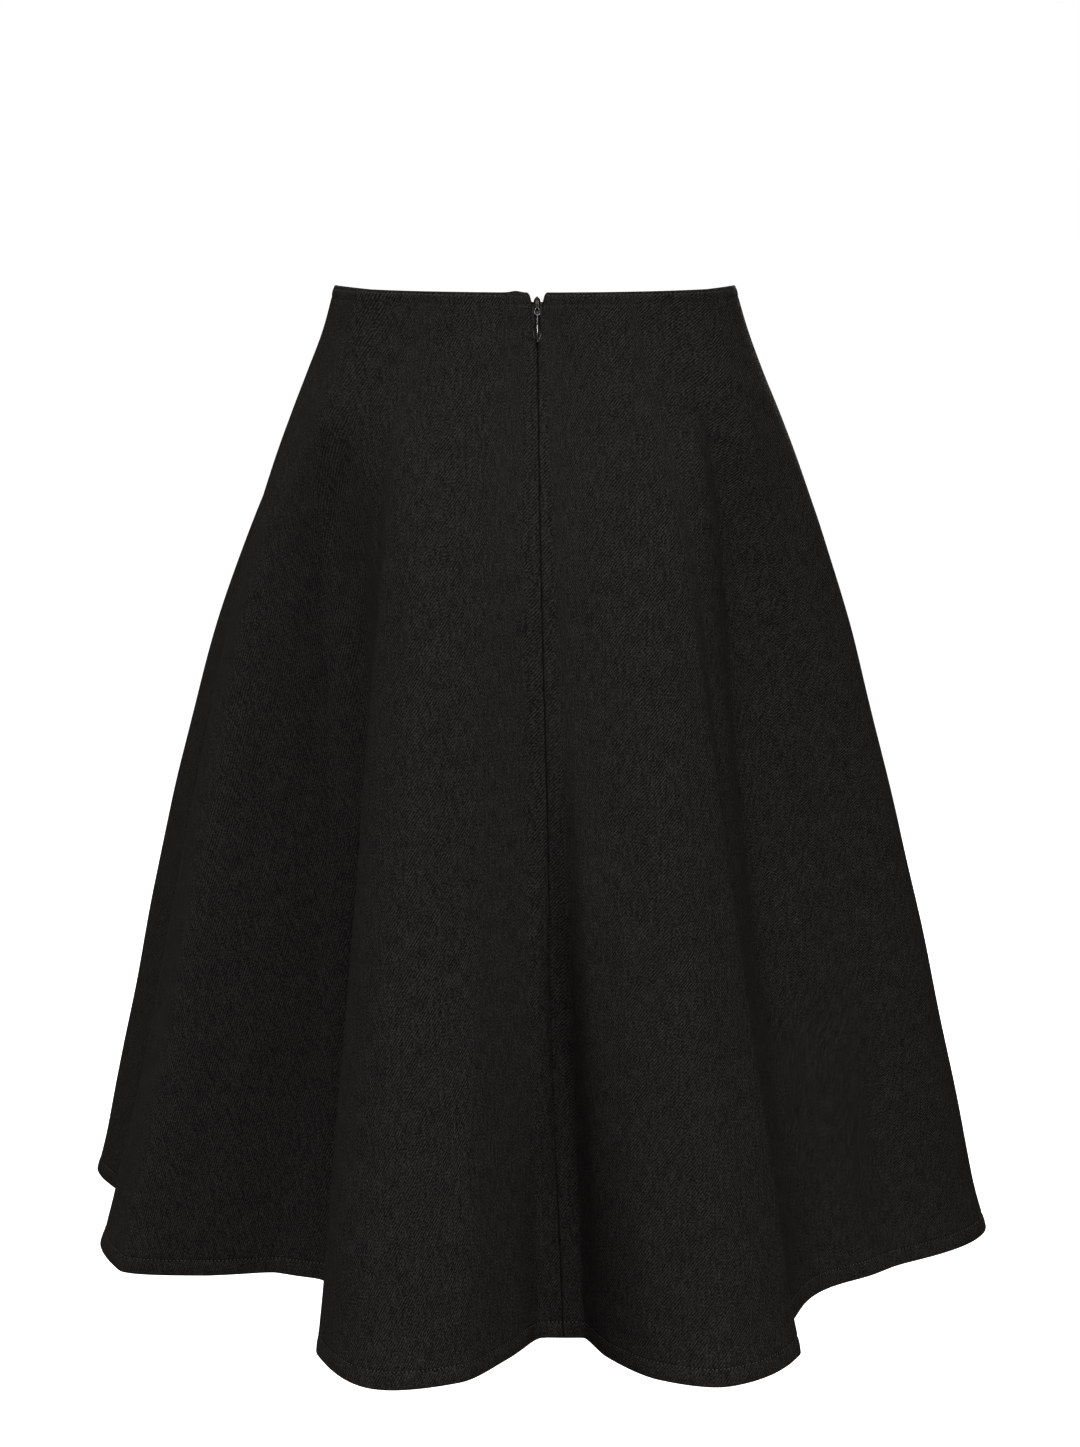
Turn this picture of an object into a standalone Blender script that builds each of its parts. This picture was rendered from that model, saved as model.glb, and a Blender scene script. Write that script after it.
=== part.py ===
"""Flared skirt on its worn form, metres, +Z up, waist centre at the origin.

The back of the skirt, with its zip, faces -Y. Angles are degrees round the
vertical axis from -Y towards +X. Drops are metres below the waist edge.
"""
import math

import bmesh
import bpy
from mathutils import Matrix, Vector

# ---- Cloth ----
LENGTH = 0.619          # waist edge to hem, measured plumb
WALL = 0.0014           # cloth thickness
TURNED_WALL = 0.0024    # thickness where the edge is turned in and sewn
WAIST_TURN = 0.007      # height of the turned waist edge
HEM_TURN = 0.010        # height of the turned hem
TURN_STEP = 0.001       # height over which a turned edge thins to one layer
FRONT_DIP = 0.012       # how far the waist edge is lower at the front
DIP_POWER = 1.2
SEAM_GAP = 0.0003       # clearance between neighbouring panels
HEM_KICK = 0.003        # how far the stiff hem stands out past the fold line
KICK_HEIGHT = 0.040     # height over which it does so

# Outline that the fold crests reach: drop, width either side of the axis, and
# depth behind and in front of it.
SECTIONS = (
    # drop, right_width, left_width, back_depth, front_depth
    (0.000, 0.1225, 0.1290, 0.0875, 0.0875),
    (0.027, 0.1306, 0.1364, 0.0960, 0.0965),
    (0.053, 0.1404, 0.1464, 0.1060, 0.1060),
    (0.078, 0.1510, 0.1570, 0.1170, 0.1150),
    (0.103, 0.1610, 0.1674, 0.1285, 0.1235),
    (0.129, 0.1706, 0.1770, 0.1395, 0.1310),
    (0.154, 0.1794, 0.1852, 0.1490, 0.1380),
    (0.206, 0.1952, 0.2005, 0.1660, 0.1520),
    (0.258, 0.2090, 0.2140, 0.1820, 0.1660),
    (0.310, 0.2224, 0.2258, 0.1970, 0.1800),
    (0.364, 0.2356, 0.2373, 0.2125, 0.1945),
    (0.417, 0.2485, 0.2483, 0.2275, 0.2090),
    (0.471, 0.2609, 0.2597, 0.2430, 0.2240),
    (0.526, 0.2727, 0.2723, 0.2590, 0.2395),
    (0.581, 0.2838, 0.2855, 0.2745, 0.2550),
    (0.619, 0.2915, 0.2935, 0.2850, 0.2650),
)

# Folds at the hem, round from the centre back: angle and reach of each crest,
# valley and flank, the drop at which the fold begins to show, how far its line
# turns round the axis on its way up to the waist, and its onset: a low one
# brings the fold to its full depth soon.
FOLDS = (
    # name, angle_deg, reach, start_drop, sway_deg, onset
    ("centre back valley, right corner", 7.2, 0.2005, 0.160, -5.5, 2.00),
    ("right back inner flank", 9.5, 0.2320, 0.160, -4.8, 2.00),
    ("right back shoulder", 14.5, 0.2730, 0.120, -3.2, 1.00),
    ("right back crest", 22.0, 0.2945, 0.080, -2.5, 0.50),
    ("right back outer flank", 34.0, 0.2740, 0.110, -1.5, 0.50),
    ("right back fold edge", 38.5, 0.2380, 0.110, -1.5, 0.50),
    ("right valley", 54.0, 0.2130, 0.060, -2.0, 0.20),
    ("right side flank", 70.0, 0.2400, 0.060, -3.0, 0.20),
    ("right side crest", 89.0, 0.2925, 0.050, -4.0, 0.20),
    ("right front valley", 112.0, 0.2320, 0.070, -4.0, 0.30),
    ("right front crest", 131.0, 0.2850, 0.070, -4.0, 0.40),
    ("right belly valley", 150.0, 0.2020, 0.080, -4.0, 0.50),
    ("right belly crest", 168.0, 0.2750, 0.080, -4.0, 0.50),
    ("centre front valley", 186.0, 0.2030, 0.080, -4.0, 0.50),
    ("left belly crest", 204.0, 0.2800, 0.080, -4.0, 0.50),
    ("left belly valley", 222.0, 0.2200, 0.080, -2.0, 0.40),
    ("left front flank", 236.0, 0.2730, 0.060, 4.0, 0.30),
    ("left front crest", 247.5, 0.3310, 0.050, 8.0, 0.20),
    ("left front inner flank", 256.0, 0.3000, 0.050, 6.5, 0.20),
    ("left side valley", 264.0, 0.2450, 0.050, 3.0, 0.20),
    ("left side crest", 277.0, 0.2865, 0.050, -3.0, 0.20),
    ("left side flank", 288.0, 0.2800, 0.060, -6.0, 0.20),
    ("left side fold edge", 294.5, 0.2330, 0.070, -7.0, 0.20),
    ("left valley edge", 299.0, 0.1880, 0.070, -8.0, 0.20),
    ("left valley", 309.0, 0.1720, 0.070, -8.5, 0.20),
    ("left back fold edge", 323.5, 0.2130, 0.075, -8.5, 0.20),
    ("left back outer flank", 330.0, 0.2620, 0.080, -8.5, 0.30),
    ("left back crest", 341.0, 0.2930, 0.080, -7.0, 0.50),
    ("left back shoulder", 350.5, 0.2710, 0.120, -5.5, 1.00),
    ("left back inner flank", 355.5, 0.2330, 0.150, -5.0, 2.00),
    ("centre back valley, left corner", 360.8, 0.1990, 0.160, -4.8, 2.00),
)
ONSET_POWER = 1.5

# Soft troughs that come and go between the waist and the hem
TROUGHS = (
    # name, top_angle_deg, top_drop, low_angle_deg, low_drop, half_width_deg, depth
    ("left hip drag", 312.0, 0.055, 294.0, 0.230, 7.0, 0.0050),
    ("left side hollow", 294.0, 0.120, 293.0, 0.480, 5.0, 0.0060),
    ("right hip drag", 51.0, 0.045, 66.0, 0.260, 6.0, 0.0045),
    ("right low hollow", 73.0, 0.420, 68.0, 0.700, 4.0, 0.0045),
    ("left crest hollow", 344.0, 0.230, 362.0, 0.640, 4.0, 0.0055),
    ("centre back hollow", 5.5, 0.290, 7.5, 0.600, 2.0, 0.0040),
)

# Where the panels meet, at the hem
CENTRE_BACK = 4.0
RIGHT_SEAM = 97.0
LEFT_SEAM = 263.0
BACK_COLUMNS = 31
FRONT_COLUMNS = 57
TURN_WEIGHT = 0.03       # extra hem length that each radian of bend counts as, in spacing columns
FINE_STEPS = 720
ROW_DROPS = (
    0.0, 0.003, 0.006, WAIST_TURN, WAIST_TURN + TURN_STEP, 0.012, 0.018, 0.026,
    0.040, 0.060, 0.080, 0.105, 0.130, 0.155, 0.178, 0.198, 0.218, 0.238, 0.260, 0.284,
    0.310, 0.350, 0.390, 0.430, 0.470, 0.510, 0.550, 0.582,
    LENGTH - HEM_TURN - TURN_STEP, LENGTH - HEM_TURN, LENGTH,
)

# Notch where the panels part round the slider: half its width by drop
NOTCH = (
    # drop, half_width
    (0.0000, 0.0052),
    (0.0015, 0.0046),
    (0.0060, 0.0034),
    (0.0165, 0.0031),
    (0.0230, 0.0000),
    (LENGTH, 0.0000),
)
NOTCH_FADE = 0.030      # distance along the cloth over which it closes up

# ---- Zip, in the frame of the cloth at the slider: across, down, outwards ----
ZIP_TOP = 0.0058
ZIP_END = 0.300
ZIP_ROW = 0.012         # height of one row of the tape's cells
TAPE_GAP = 0.0009       # between panel and tape
TAPE_WALL = 0.0010
CHAIN_WALL = 0.0022     # tape and coil together
SLOT_END = 0.0160       # the tape is open above this, round the slider's neck
TAPE_EDGES = (
    -0.0110, -0.0088, -0.0065, -0.0033, -0.0032, -0.0014,
    0.0014, 0.0032, 0.0033, 0.0065, 0.0088, 0.0110,
)
CHAIN_COLUMNS = (4, 5, 6, 7)
SLOT_CELL = 5

SLIDER_DROP = 0.0094    # middle of the slider
SLIDER_TOP = (
    # down, half_width, low, high
    (-0.0054, 0.0004, -0.0010, -0.0002),
    (-0.0046, 0.0011, -0.0014, 0.0002),
    (-0.0030, 0.0016, -0.0015, 0.0006),
    (0.0000, 0.0020, -0.0015, 0.0006),
    (0.0030, 0.0023, -0.0015, 0.0006),
    (0.0048, 0.0020, -0.0015, 0.0005),
    (0.0056, 0.0012, -0.0012, 0.0002),
)
SLIDER_NECK = (
    # down, half_width, low, high
    (-0.0030, 0.0007, -0.0062, -0.0010),
    (0.0030, 0.0007, -0.0062, -0.0010),
)
SLIDER_BACK = (
    # down, half_width, low, high
    (-0.0042, 0.0026, -0.0070, -0.0062),
    (-0.0034, 0.0036, -0.0072, -0.0059),
    (0.0046, 0.0036, -0.0072, -0.0059),
    (0.0056, 0.0026, -0.0070, -0.0062),
)
BAIL_TOP = -0.0016      # inner ends of the bail's opening, down the slider
BAIL_LOW = 0.0013
BAIL_FOOT = 0.0002      # how far below the slider's face the bail starts
BAIL_HEIGHT = 0.0022    # inner height of its opening, above the slider's face
BAIL_BAR = 0.0009       # thickness of its bar
BAIL_HALF_WIDTH = 0.0006
CHAMFER = 0.0002

PULL_AXIS_DOWN = 0.0004
PULL_AXIS_OUT = 0.0018
PULL = (
    # down from the axis, half_width, low, high
    (-0.0005, 0.0017, -0.0004, 0.0004),
    (0.0006, 0.0023, -0.0004, 0.0004),
    (0.0042, 0.0022, -0.0004, 0.0004),
    (0.0054, 0.0012, -0.0004, 0.0004),
    (0.0066, 0.0012, -0.0004, 0.0005),
    (0.0110, 0.0019, -0.0004, 0.0006),
    (0.0150, 0.0024, -0.0004, 0.0006),
    (0.0180, 0.0021, -0.0004, 0.0005),
    (0.0205, 0.0009, -0.0003, 0.0004),
    (0.0212, 0.0003, -0.0002, 0.0002),
)
PULL_HOLE = (0.0004, 0.0042, 0.0012)    # from, to, half width
HOLE_REACH = 0.002

# Looks: name, base colour, roughness, metallic
BLACK_TWILL = ("black_twill", (0.012, 0.011, 0.011), 0.85, 0.0)
BLACK_TAPE = ("black_tape", (0.010, 0.010, 0.010), 0.75, 0.0)
BLACK_NICKEL = ("black_nickel", (0.060, 0.058, 0.056), 0.22, 1.0)


def mixed(rows, at, column):
    """Value of a column at a place in a table, with smooth slopes between its rows."""
    xs = [row[0] for row in rows]
    ys = [row[column] for row in rows]
    at = min(max(at, xs[0]), xs[-1])
    k = max(i for i in range(len(xs) - 1) if xs[i] <= at)
    return hermite(xs, ys, slopes_of(xs, ys), k, at)


def slopes_of(xs, ys):
    """Slopes that keep a curve through the points from overshooting them."""
    steps = [(ys[i + 1] - ys[i]) / (xs[i + 1] - xs[i]) for i in range(len(xs) - 1)]
    slopes = [steps[0]]
    for before, after in zip(steps, steps[1:]):
        slopes.append(0.0 if before * after <= 0 else 2 * before * after / (before + after))
    slopes.append(steps[-1])
    return slopes


def hermite(xs, ys, slopes, k, at):
    span = xs[k + 1] - xs[k]
    u = (at - xs[k]) / span
    return (
        ys[k] * (1 + 2 * u) * (1 - u) ** 2
        + slopes[k] * span * u * (1 - u) ** 2
        + ys[k + 1] * u * u * (3 - 2 * u)
        + slopes[k + 1] * span * u * u * (u - 1)
    )


ROUND_FOLDS = tuple(
    (angle + turn, reach, start, sway, onset)
    for turn in (-360.0, 0.0, 360.0)
    for _, angle, reach, start, sway, onset in FOLDS
)


def fold_reach(angle):
    return mixed(ROUND_FOLDS, angle, 1)


def fold_start(angle):
    return mixed(ROUND_FOLDS, angle, 2)


def fold_sway(angle):
    return mixed(ROUND_FOLDS, angle, 3)


def fold_onset(angle):
    return mixed(ROUND_FOLDS, angle, 4)


def outline(angle, drop):
    """Distance from the axis to the fold crests' outline."""
    a = math.radians(angle)
    width = mixed(SECTIONS, drop, 1 if math.sin(a) > 0 else 2)
    depth = mixed(SECTIONS, drop, 3 if math.cos(a) > 0 else 4)
    return 1 / math.hypot(math.sin(a) / width, math.cos(a) / depth)


def fold_share(angle, drop):
    """How much of its depth at the hem a fold has at a drop."""
    start = fold_start(angle)
    onset = fold_onset(angle)
    u = max(0.0, (drop - start) / (LENGTH - start)) ** ONSET_POWER
    return (1 + onset) * u / (u + onset)


def trough_depth(angle, drop):
    """How far the soft troughs draw the cloth in."""
    total = 0.0
    for _, top_angle, top_drop, low_angle, low_drop, half_width, depth in TROUGHS:
        along = (drop - top_drop) / (low_drop - top_drop)
        if not 0 < along < 1:
            continue
        aside = (angle - top_angle - (low_angle - top_angle) * along + 180) % 360 - 180
        across = math.exp(-(aside / half_width) ** 2)
        total += depth * across * math.sin(math.pi * along) ** 2
    return total


def cloth_point(angle, drop):
    """Point of the outer face, for the angle that its thread has at the hem."""
    turned = angle + fold_sway(angle) * (1 - drop / LENGTH)
    depth = fold_reach(angle) - outline(angle, LENGTH)
    reach = outline(turned, drop) + depth * fold_share(angle, drop)
    near_hem = max(0.0, 1 - (LENGTH - drop) / KICK_HEIGHT)
    reach += HEM_KICK * near_hem ** 2 - trough_depth(angle, drop)
    a = math.radians(turned)
    dip = FRONT_DIP * max(0.0, -math.cos(a)) ** DIP_POWER * (1 - drop / LENGTH)
    return Vector((reach * math.sin(a), -reach * math.cos(a), -drop - dip))


def column_angles(start, end, count):
    """Angles that space columns evenly along the hem, closer where it bends."""
    fine = [start + (end - start) * i / FINE_STEPS for i in range(FINE_STEPS + 1)]
    points = [cloth_point(angle, LENGTH) for angle in fine]
    steps = [after - before for before, after in zip(points, points[1:])]
    run = [0.0, steps[0].length]
    for before, after in zip(steps, steps[1:]):
        run.append(run[-1] + after.length + TURN_WEIGHT * before.angle(after))
    found = []
    k = 0
    for i in range(count):
        want = run[-1] * i / (count - 1)
        while k < FINE_STEPS - 1 and run[k + 1] < want:
            k += 1
        share = (want - run[k]) / (run[k + 1] - run[k])
        found.append(fine[k] + share * (fine[k + 1] - fine[k]))
    return found


def wall_at(drop):
    """Cloth thickness at a drop, more where the edge is turned in."""
    turned = drop <= WAIST_TURN or drop >= LENGTH - HEM_TURN
    return TURNED_WALL if turned else WALL


def normal_at(angle, drop):
    step_angle, step_drop = 0.2, 0.001
    low = max(0.0, drop - step_drop)
    high = min(LENGTH, drop + step_drop)
    along = cloth_point(angle + step_angle, drop) - cloth_point(angle - step_angle, drop)
    down = cloth_point(angle, high) - cloth_point(angle, low)
    return down.cross(along).normalized()


def panel_grid(angles, first_edge, last_edge):
    """Rows of outer and inner points. Each edge gives how far it is drawn in at a drop."""
    outer, inner = [], []
    for drop in ROW_DROPS:
        points = [cloth_point(angle, drop) for angle in angles]
        normals = [normal_at(angle, drop) for angle in angles]
        run = [0.0]
        for before, after in zip(points, points[1:]):
            run.append(run[-1] + (after - before).length)
        placed = []
        for i, point in enumerate(points):
            ahead = (points[min(i + 1, len(points) - 1)] - points[max(i - 1, 0)]).normalized()
            fade_first = max(0.0, 1 - run[i] / NOTCH_FADE) ** 2
            fade_last = max(0.0, 1 - (run[-1] - run[i]) / NOTCH_FADE) ** 2
            placed.append(point + ahead * (first_edge(drop) * fade_first - last_edge(drop) * fade_last))
        outer.append(placed)
        inner.append([p - n * wall_at(drop) for p, n in zip(placed, normals)])
    return outer, inner


def wall_mesh(name, outer, inner, left_out=()):
    """Closed wall between two grids of points, without the cells left out."""
    rows, columns = len(outer), len(outer[0])
    mesh = bpy.data.meshes.new(name)
    shape = bmesh.new()
    face_grids = [[[shape.verts.new(p) for p in row] for row in grid] for grid in (outer, inner)]
    cells = {
        (r, c)
        for r in range(rows - 1)
        for c in range(columns - 1)
        if (r, c) not in left_out
    }
    out, back = face_grids
    for r, c in sorted(cells):
        corners = ((r, c), (r + 1, c), (r + 1, c + 1), (r, c + 1))
        shape.faces.new([out[i][j] for i, j in corners])
        shape.faces.new([back[i][j] for i, j in reversed(corners)])
        beside = ((r, c - 1), (r + 1, c), (r, c + 1), (r - 1, c))
        for side, neighbour in enumerate(beside):
            if neighbour in cells:
                continue
            (i, j), (m, n) = corners[side], corners[(side + 1) % 4]
            shape.faces.new([out[m][n], out[i][j], back[i][j], back[m][n]])
    loose = [v for v in shape.verts if not v.link_faces]
    bmesh.ops.delete(shape, geom=loose, context="VERTS")
    bmesh.ops.recalc_face_normals(shape, faces=shape.faces)
    for face in shape.faces:
        face.smooth = True
    shape.to_mesh(mesh)
    shape.free()
    return mesh


def add_node(name, mesh, look, parent=None):
    """Object with its own material."""
    title, colour, roughness, metallic = look
    material = bpy.data.materials.new(f"{name}_{title}")
    material.use_nodes = True
    shader = material.node_tree.nodes["Principled BSDF"]
    shader.inputs["Base Color"].default_value = (*colour, 1.0)
    shader.inputs["Roughness"].default_value = roughness
    shader.inputs["Metallic"].default_value = metallic
    mesh.materials.append(material)
    made = bpy.data.objects.new(name, mesh)
    bpy.context.scene.collection.objects.link(made)
    if parent:
        made.parent = parent
    return made


def plain_edge(drop):
    return SEAM_GAP / 2


def notch_edge(drop):
    for low, high in zip(NOTCH, NOTCH[1:]):
        if drop <= high[0]:
            share = (drop - low[0]) / (high[0] - low[0])
            return SEAM_GAP / 2 + low[1] + share * (high[1] - low[1])
    return SEAM_GAP / 2


def build_panels():
    spans = (
        ("panel_back_right", CENTRE_BACK, RIGHT_SEAM, BACK_COLUMNS, notch_edge, plain_edge),
        ("panel_front", RIGHT_SEAM, LEFT_SEAM, FRONT_COLUMNS, plain_edge, plain_edge),
        ("panel_back_left", LEFT_SEAM, 360 + CENTRE_BACK, BACK_COLUMNS, plain_edge, notch_edge),
    )
    for name, start, end, columns, first_edge, last_edge in spans:
        outer, inner = panel_grid(column_angles(start, end, columns), first_edge, last_edge)
        add_node(name, wall_mesh(name, outer, inner), BLACK_TWILL)


def angle_aside(angle, drop, aside):
    """Angle of the thread at a distance along the cloth from another."""
    step = 0.1
    run = (cloth_point(angle + step, drop) - cloth_point(angle, drop)).length
    return angle + step * aside / run


def build_tape():
    """Both tapes of the closed zip, with their coils, inside the back panels."""
    rows = [ZIP_TOP, 0.0068, WAIST_TURN + 0.0003, 0.0105, 0.0132, SLOT_END]
    count = round((ZIP_END - SLOT_END) / ZIP_ROW)
    rows += [SLOT_END + (ZIP_END - SLOT_END) * (i + 1) / count for i in range(count)]
    outer, inner = [], []
    for drop in rows:
        wall = TURNED_WALL if drop < WAIST_TURN + 2 * TURN_STEP else WALL
        placed, backs = [], []
        for column, aside in enumerate(TAPE_EDGES):
            angle = angle_aside(CENTRE_BACK, drop, aside)
            point = cloth_point(angle, drop)
            normal = normal_at(angle, drop)
            depth = CHAIN_WALL if column in CHAIN_COLUMNS else TAPE_WALL
            placed.append(point - normal * (wall + TAPE_GAP))
            backs.append(point - normal * (wall + TAPE_GAP + depth))
        outer.append(placed)
        inner.append(backs)
    slot = [(r, SLOT_CELL) for r, drop in enumerate(rows) if drop < SLOT_END]
    add_node("zip_tape", wall_mesh("zip_tape", outer, inner, slot), BLACK_TAPE)


def slider_frame():
    """Frame at the slider's middle: X across, Y down the cloth, Z outwards."""
    place = cloth_point(CENTRE_BACK, SLIDER_DROP)
    out = normal_at(CENTRE_BACK, SLIDER_DROP)
    step = 0.001
    low = cloth_point(CENTRE_BACK, SLIDER_DROP + step)
    high = cloth_point(CENTRE_BACK, SLIDER_DROP - step)
    down = (low - high).normalized()
    across = down.cross(out).normalized()
    down = out.cross(across)
    turn = Matrix((across, down, out)).transposed()
    return Matrix.Translation(place) @ turn.to_4x4()


def lofted_mesh(name, rows, frame):
    """Closed bar through eight-sided sections, one for each row."""
    shape = bmesh.new()
    rings = []
    for down, half, low, high in rows:
        cut = min(CHAMFER, 0.4 * half, 0.4 * (high - low))
        section = (
            (half - cut, high), (half, high - cut), (half, low + cut), (half - cut, low),
            (cut - half, low), (-half, low + cut), (-half, high - cut), (cut - half, high),
        )
        rings.append([shape.verts.new(frame @ Vector((x, down, z))) for x, z in section])
    join_rings(shape, rings)
    return finished_mesh(name, shape)


def join_rings(shape, rings):
    count = len(rings[0])
    for before, after in zip(rings, rings[1:]):
        for i in range(count):
            j = (i + 1) % count
            shape.faces.new((before[i], before[j], after[j], after[i]))
    shape.faces.new(rings[0])
    shape.faces.new(reversed(rings[-1]))
    bmesh.ops.recalc_face_normals(shape, faces=shape.faces)


def finished_mesh(name, shape):
    mesh = bpy.data.meshes.new(name)
    shape.to_mesh(mesh)
    shape.free()
    return mesh


def bail_mesh(name, face, frame):
    """Bar that rises from the slider's face, crosses and comes down again."""
    half_bar = BAIL_BAR / 2
    top = BAIL_TOP - half_bar
    low = BAIL_LOW + half_bar
    crest = face + BAIL_HEIGHT + half_bar
    shoulder = 0.0007
    path = (
        (top, face - BAIL_FOOT), (top, crest - shoulder), (top + 0.3 * shoulder, crest - 0.3 * shoulder),
        (top + shoulder, crest), (low - shoulder, crest), (low - 0.3 * shoulder, crest - 0.3 * shoulder),
        (low, crest - shoulder), (low, face - BAIL_FOOT),
    )
    points = [Vector((0, down, out)) for down, out in path]
    shape = bmesh.new()
    rings = []
    for i, point in enumerate(points):
        before = points[max(i - 1, 0)]
        after = points[min(i + 1, len(points) - 1)]
        ahead = (after - before).normalized()
        aside = Vector((1, 0, 0))
        across = ahead.cross(aside)
        corners = (
            (BAIL_HALF_WIDTH - CHAMFER, half_bar), (BAIL_HALF_WIDTH, half_bar - CHAMFER),
            (BAIL_HALF_WIDTH, CHAMFER - half_bar), (BAIL_HALF_WIDTH - CHAMFER, -half_bar),
            (CHAMFER - BAIL_HALF_WIDTH, -half_bar), (-BAIL_HALF_WIDTH, CHAMFER - half_bar),
            (-BAIL_HALF_WIDTH, half_bar - CHAMFER), (CHAMFER - BAIL_HALF_WIDTH, half_bar),
        )
        rings.append([shape.verts.new(frame @ (point + aside * x + across * y)) for x, y in corners])
    join_rings(shape, rings)
    return finished_mesh(name, shape)


def helper(name, mesh):
    """Shape that only a Boolean uses."""
    made = bpy.data.objects.new(name, mesh)
    bpy.context.scene.collection.objects.link(made)
    made.hide_render = True
    made.display_type = "WIRE"
    return made


def combine(node, other, operation):
    step = node.modifiers.new(operation.lower(), "BOOLEAN")
    step.operation = operation
    step.solver = "EXACT"
    step.object = other


def build_slider():
    frame = slider_frame()
    slider = add_node("zip_slider", lofted_mesh("zip_slider", SLIDER_TOP, frame), BLACK_NICKEL)
    face = max(high for *_, high in SLIDER_TOP)
    combine(slider, helper("neck_shape", lofted_mesh("neck_shape", SLIDER_NECK, frame)), "UNION")
    combine(slider, helper("back_shape", lofted_mesh("back_shape", SLIDER_BACK, frame)), "UNION")
    combine(slider, helper("bail_shape", bail_mesh("bail_shape", face, frame)), "UNION")


def build_pull():
    frame = slider_frame()
    axis_place = frame @ Vector((0, PULL_AXIS_DOWN, PULL_AXIS_OUT))
    local = frame.to_3x3().to_4x4()
    pull = add_node("pull_tab", lofted_mesh("pull_tab", PULL, local), BLACK_NICKEL)
    start, end, half = PULL_HOLE
    hole_rows = ((start, half, -HOLE_REACH, HOLE_REACH), (end, half, -HOLE_REACH, HOLE_REACH))
    hole = helper("hole_shape", lofted_mesh("hole_shape", hole_rows, local))
    pull.location = axis_place
    hole.location = axis_place
    combine(pull, hole, "DIFFERENCE")


for thing in list(bpy.data.objects):
    bpy.data.objects.remove(thing)
build_panels()
build_tape()
build_slider()
build_pull()
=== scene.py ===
# Flared skirt seen from the back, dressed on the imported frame. Metres, +Z up.
import math
import random

import bmesh
import bpy
import numpy as np
from mathutils import Matrix, Vector


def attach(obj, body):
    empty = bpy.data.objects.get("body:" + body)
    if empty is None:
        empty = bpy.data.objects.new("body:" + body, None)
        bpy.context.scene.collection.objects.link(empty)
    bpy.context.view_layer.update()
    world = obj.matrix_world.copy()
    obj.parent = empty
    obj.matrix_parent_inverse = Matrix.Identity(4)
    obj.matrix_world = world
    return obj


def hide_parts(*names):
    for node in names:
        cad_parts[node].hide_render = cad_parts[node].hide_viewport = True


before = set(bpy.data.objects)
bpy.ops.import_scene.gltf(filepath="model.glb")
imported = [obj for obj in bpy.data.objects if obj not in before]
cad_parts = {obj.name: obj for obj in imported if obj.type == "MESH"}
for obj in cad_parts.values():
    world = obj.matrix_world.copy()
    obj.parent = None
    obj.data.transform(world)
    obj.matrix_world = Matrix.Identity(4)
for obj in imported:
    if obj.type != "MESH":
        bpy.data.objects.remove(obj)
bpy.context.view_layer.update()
random.seed(7)
print("stage: frame loaded")

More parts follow.
